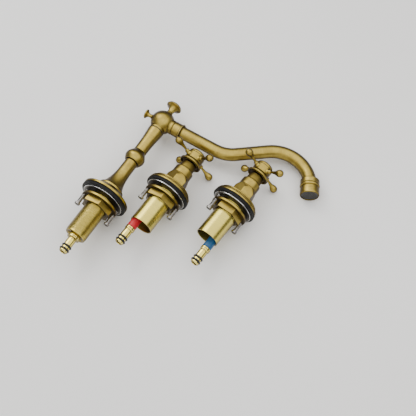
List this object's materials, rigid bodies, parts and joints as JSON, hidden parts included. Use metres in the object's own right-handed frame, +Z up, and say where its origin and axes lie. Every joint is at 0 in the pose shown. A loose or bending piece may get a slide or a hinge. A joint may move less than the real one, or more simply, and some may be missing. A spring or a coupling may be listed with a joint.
{
  "type": "widespread basin mixer faucet",
  "caption": "Widespread basin mixer laid flat: a column spout that swivels at a ball, and cross-handle hot and cold valves, with deck nuts, jack screws and push-fit connectors.",
  "frame": {"origin": "middle of the footprint, on the surface that the three units lie on", "axes": "+Y runs along the units from their connectors to the spout's ball and the handles, +X from the spout unit past the hot valve to the cold valve, +Z up"},
  "size_m": [0.217, 0.2306, 0.0528],
  "materials": {
    "antique_brass": "brushed antique brass, darker in the recesses",
    "black_plastic": "moulded black plastic",
    "cold_marker_plastic": "moulded blue plastic",
    "connector_brass": "bright turned brass",
    "gasket_rubber": "matt black rubber",
    "hot_marker_plastic": "moulded red plastic",
    "inner_brass": "machined brass",
    "jack_screw_steel": "zinc-plated steel",
    "screw_steel": "stainless steel",
    "seal_rubber": "black rubber, slightly shiny",
    "shank_brass": "machined and threaded brass, lightly tarnished",
    "sleeve_brass": "smooth pale satin brass",
    "valve_ceramic": "lapped white ceramic",
    "washer_steel": "plain stamped steel"
  },
  "bodies": {
    "kit": {"cold_body": "sleeve_brass", "cold_bonnet": "antique_brass", "cold_cartridge": "inner_brass", "cold_escutcheon": "antique_brass", "cold_fixed_disc": "valve_ceramic", "cold_gasket": "gasket_rubber", "cold_marker": "cold_marker_plastic", "cold_nipple": "connector_brass", "cold_nipple_seal_1": "seal_rubber", "cold_nipple_seal_2": "seal_rubber", "cold_washer": "washer_steel", "hot_body": "sleeve_brass", "hot_bonnet": "antique_brass", "hot_cartridge": "inner_brass", "hot_escutcheon": "antique_brass", "hot_fixed_disc": "valve_ceramic", "hot_gasket": "gasket_rubber", "hot_marker": "hot_marker_plastic", "hot_nipple": "connector_brass", "hot_nipple_seal_1": "seal_rubber", "hot_nipple_seal_2": "seal_rubber", "hot_washer": "washer_steel", "spout_column_lower": "antique_brass", "spout_column_ring": "antique_brass", "spout_column_upper": "antique_brass", "spout_escutcheon": "antique_brass", "spout_gasket": "gasket_rubber", "spout_nipple": "connector_brass", "spout_nipple_seal_1": "seal_rubber", "spout_nipple_seal_2": "seal_rubber", "spout_shank": "shank_brass", "spout_swivel_bush": "black_plastic", "spout_swivel_stem": "inner_brass", "spout_washer": "washer_steel"},
    "spout_head": {"spout_ball": "antique_brass", "spout_top_finial": "antique_brass", "spout_rear_finial": "antique_brass", "spout_collar": "antique_brass", "spout_tube": "antique_brass", "spout_nozzle": "antique_brass", "spout_aerator": "black_plastic"},
    "hot_cross_handle": {"hot_handle": "antique_brass", "hot_handle_cap": "antique_brass", "hot_handle_screw": "screw_steel", "hot_spindle": "inner_brass", "hot_moving_disc": "valve_ceramic"},
    "cold_cross_handle": {"cold_handle": "antique_brass", "cold_handle_cap": "antique_brass", "cold_handle_screw": "screw_steel", "cold_spindle": "inner_brass", "cold_moving_disc": "valve_ceramic"},
    "spout_nut": {"spout_mounting_nut": "antique_brass"},
    "spout_jack_1": {"spout_jack_screw_1": "jack_screw_steel"},
    "spout_jack_2": {"spout_jack_screw_2": "jack_screw_steel"},
    "hot_nut": {"hot_mounting_nut": "antique_brass"},
    "hot_jack_1": {"hot_jack_screw_1": "jack_screw_steel"},
    "hot_jack_2": {"hot_jack_screw_2": "jack_screw_steel"},
    "cold_nut": {"cold_mounting_nut": "antique_brass"},
    "cold_jack_1": {"cold_jack_screw_1": "jack_screw_steel"},
    "cold_jack_2": {"cold_jack_screw_2": "jack_screw_steel"}
  },
  "joints": [
    {"name": "spout_swivel", "type": "hinge", "parent": "kit", "child": "spout_head", "pos_m": [-0.08102, 0.07119, 0.02146], "axis": [0.0105, 0.999, -0.0436], "continuous": true},
    {"name": "hot_handle_turn", "type": "hinge", "parent": "kit", "child": "hot_cross_handle", "pos_m": [-0.026, 0.04618, 0.02419], "axis": [0.068, 0.9975, -0.0175], "range_deg": [0, 90]},
    {"name": "cold_handle_turn", "type": "hinge", "parent": "kit", "child": "cold_cross_handle", "pos_m": [0.04391, 0.06773, 0.02608], "axis": [-0.1218, -0.9923, -0.0209], "range_deg": [0, 90]},
    {"name": "spout_nut_travel", "type": "slide", "parent": "kit", "child": "spout_nut", "axis": [-0.0105, -0.999, 0.0436], "range_m": [0, 0.03]},
    {"name": "spout_jack_1_travel", "type": "slide", "parent": "spout_nut", "child": "spout_jack_1", "axis": [-0.0105, -0.999, 0.0436], "range_m": [0, 0.006]},
    {"name": "spout_jack_2_travel", "type": "slide", "parent": "spout_nut", "child": "spout_jack_2", "axis": [-0.0105, -0.999, 0.0436], "range_m": [0, 0.006]},
    {"name": "hot_nut_travel", "type": "slide", "parent": "kit", "child": "hot_nut", "axis": [-0.068, -0.9975, 0.0175], "range_m": [0, 0.03]},
    {"name": "hot_jack_1_travel", "type": "slide", "parent": "hot_nut", "child": "hot_jack_1", "axis": [-0.068, -0.9975, 0.0175], "range_m": [0, 0.006]},
    {"name": "hot_jack_2_travel", "type": "slide", "parent": "hot_nut", "child": "hot_jack_2", "axis": [-0.068, -0.9975, 0.0175], "range_m": [0, 0.006]},
    {"name": "cold_nut_travel", "type": "slide", "parent": "kit", "child": "cold_nut", "axis": [-0.1218, -0.9923, -0.0209], "range_m": [0, 0.03]},
    {"name": "cold_jack_1_travel", "type": "slide", "parent": "cold_nut", "child": "cold_jack_1", "axis": [-0.1218, -0.9923, -0.0209], "range_m": [0, 0.006]},
    {"name": "cold_jack_2_travel", "type": "slide", "parent": "cold_nut", "child": "cold_jack_2", "axis": [-0.1218, -0.9923, -0.0209], "range_m": [0, 0.006]}
  ]
}
